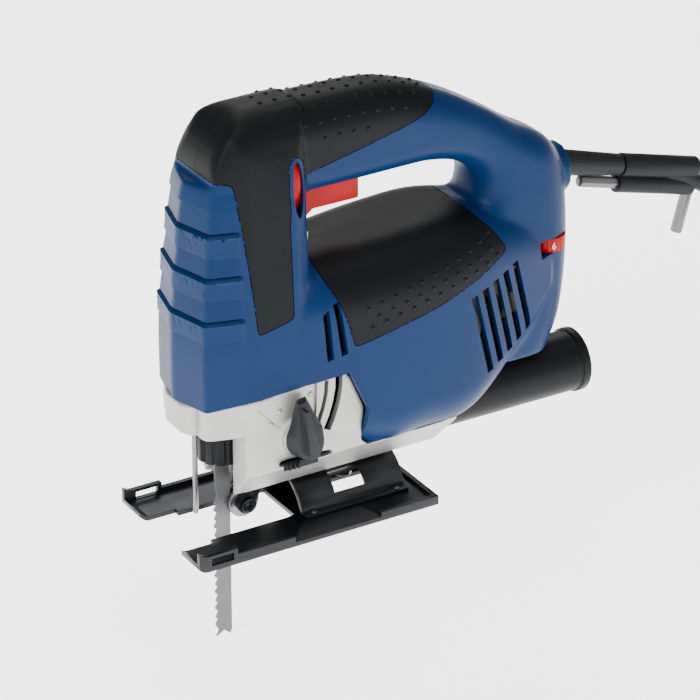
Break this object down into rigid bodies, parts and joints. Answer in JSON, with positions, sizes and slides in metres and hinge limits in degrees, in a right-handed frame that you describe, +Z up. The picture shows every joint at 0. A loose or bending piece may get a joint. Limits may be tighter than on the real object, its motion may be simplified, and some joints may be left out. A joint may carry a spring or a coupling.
{
  "type": "jigsaw power tool",
  "caption": "Corded jigsaw with D-shaped handle, cast gear case, orbital lever, tilting foot, T-shank blade and dust tube.",
  "frame": {"origin": "on the sole plane, on the centre line, 34 mm behind the blade axis", "axes": "-X to the front (blade end), +Z up to the handle, -Y to the side with the orbital lever"},
  "size_m": [0.45, 0.1045, 0.261],
  "materials": {
    "moulded_plastic": "fine satin grain",
    "soft_grip": "soft matt overmould",
    "red_plastic": "smooth",
    "cast_alloy": "bead blasted casting",
    "bright_steel": "ground",
    "blade_steel": "rolled and set",
    "foot_steel": "dark plated pressing",
    "black_plastic": "fine grain",
    "lever_plastic": "satin",
    "copper_wire": "enamelled",
    "laminated_iron": "stacked sheet",
    "brass_sheet": "bright",
    "carbon": "pressed carbon",
    "bush_bronze": "sintered",
    "circuit_board": "solder mask",
    "black_rubber": "smooth",
    "key_steel": "blackened"
  },
  "bodies": {
    "housing": {"housing_left": "moulded_plastic", "housing_right": "moulded_plastic", "front_cover": "moulded_plastic", "handle_grip_left": "soft_grip", "handle_grip_right": "soft_grip", "body_grip_left": "soft_grip", "body_grip_right": "soft_grip", "gear_case": "cast_alloy", "bearing_shield": "cast_alloy", "guard_rod": "bright_steel", "gear_spindle": "bright_steel", "front_bearing": "bright_steel", "rear_bearing": "bright_steel", "fork_pin": "bright_steel", "foot_clamp_screw": "bright_steel", "housing_screws": "bright_steel", "trigger_spring": "bright_steel", "dust_tube": "black_plastic", "switch_module": "black_plastic", "mains_plug": "black_plastic", "coil_tie": "black_plastic", "cord_clamp": "black_plastic", "field_coils": "copper_wire", "stator_core": "laminated_iron", "brush_boxes": "brass_sheet", "brush_springs": "brass_sheet", "carbon_brushes": "carbon", "rod_bushes": "bush_bronze", "speed_board": "circuit_board", "cord_sleeve": "black_rubber", "mains_cord": "black_rubber", "cord_coil": "black_rubber", "plug_tail": "black_rubber", "key_clip": "black_rubber", "hex_key": "key_steel"},
    "armature": {"armature_shaft": "bright_steel", "armature_core": "laminated_iron", "armature_windings": "copper_wire", "commutator": "copper_wire", "cooling_fan": "black_plastic", "drive_pinion": "bright_steel"},
    "gear": {"drive_gear": "bright_steel", "eccentric_pin": "bright_steel"},
    "stroke": {"stroke_rod": "bright_steel", "yoke": "bright_steel", "clamp_body": "bright_steel", "saw_blade": "blade_steel"},
    "collar": {"clamp_collar": "black_plastic"},
    "fork": {"pendulum_fork": "black_plastic", "roller_screw": "bright_steel"},
    "roller": {"guide_roller": "bright_steel"},
    "lever": {"orbit_lever": "lever_plastic"},
    "blower": {"blower_slide": "black_plastic"},
    "carriage": {"foot_clamp_plate": "foot_steel"},
    "foot": {"foot_plate": "foot_steel", "foot_bracket": "foot_steel", "foot_rivets": "bright_steel"},
    "trigger_key": {"trigger": "red_plastic"},
    "lock_key": {"lock_button": "red_plastic"},
    "dial": {"speed_dial": "red_plastic"}
  },
  "joints": [
    {"name": "armature_spin", "type": "hinge", "parent": "housing", "child": "armature", "pos_m": [0.056, 0, 0.086], "axis": [1, 0, 0], "continuous": true},
    {"name": "gear_spin", "type": "hinge", "parent": "housing", "child": "gear", "pos_m": [-0.017, 0, 0.112], "axis": [1, 0, 0], "continuous": true},
    {"name": "stroke_slide", "type": "slide", "parent": "housing", "child": "stroke", "axis": [0, 0, 1], "range_m": [-0.01, 0.01]},
    {"name": "collar_turn", "type": "hinge", "parent": "stroke", "child": "collar", "pos_m": [-0.034, 0, 0.042], "axis": [0, 0, 1], "range_deg": [0, 45], "stiffness_Nm_per_rad": 0.03},
    {"name": "fork_swing", "type": "hinge", "parent": "housing", "child": "fork", "pos_m": [-0.012, 0, 0.04], "axis": [0, -1, 0], "range_deg": [0, 3.5]},
    {"name": "roller_spin", "type": "hinge", "parent": "fork", "child": "roller", "pos_m": [-0.0242, 0, 0.009], "axis": [0, 1, 0], "continuous": true},
    {"name": "lever_turn", "type": "hinge", "parent": "housing", "child": "lever", "pos_m": [-0.01, -0.034, 0.051], "axis": [0, -1, 0], "range_deg": [-25, 50]},
    {"name": "blower_shift", "type": "slide", "parent": "housing", "child": "blower", "axis": [1, 0, 0], "range_m": [0, 0.008]},
    {"name": "foot_shift", "type": "slide", "parent": "housing", "child": "carriage", "axis": [1, 0, 0], "range_m": [0, 0.01]},
    {"name": "foot_tilt", "type": "hinge", "parent": "carriage", "child": "foot", "pos_m": [0.026, 0, 0], "axis": [1, 0, 0], "range_deg": [-45, 45]},
    {"name": "trigger_press", "type": "slide", "parent": "housing", "child": "trigger_key", "axis": [0, 0, 1], "range_m": [0, 0.0045], "stiffness_N_per_m": 600, "springref_m": -0.003, "deforming": ["trigger_spring"]},
    {"name": "lock_press", "type": "slide", "parent": "housing", "child": "lock_key", "axis": [0, 1, 0], "range_m": [0, 0.003], "stiffness_N_per_m": 400, "springref_m": -0.001},
    {"name": "dial_turn", "type": "hinge", "parent": "housing", "child": "dial", "pos_m": [0.1275, -0.0116, 0.105], "axis": [0, 0, 1], "range_deg": [-270, 0]}
  ],
  "couplings": [
    {"joint": "gear_spin", "follows": "armature_spin", "ratio": -0.3}
  ]
}
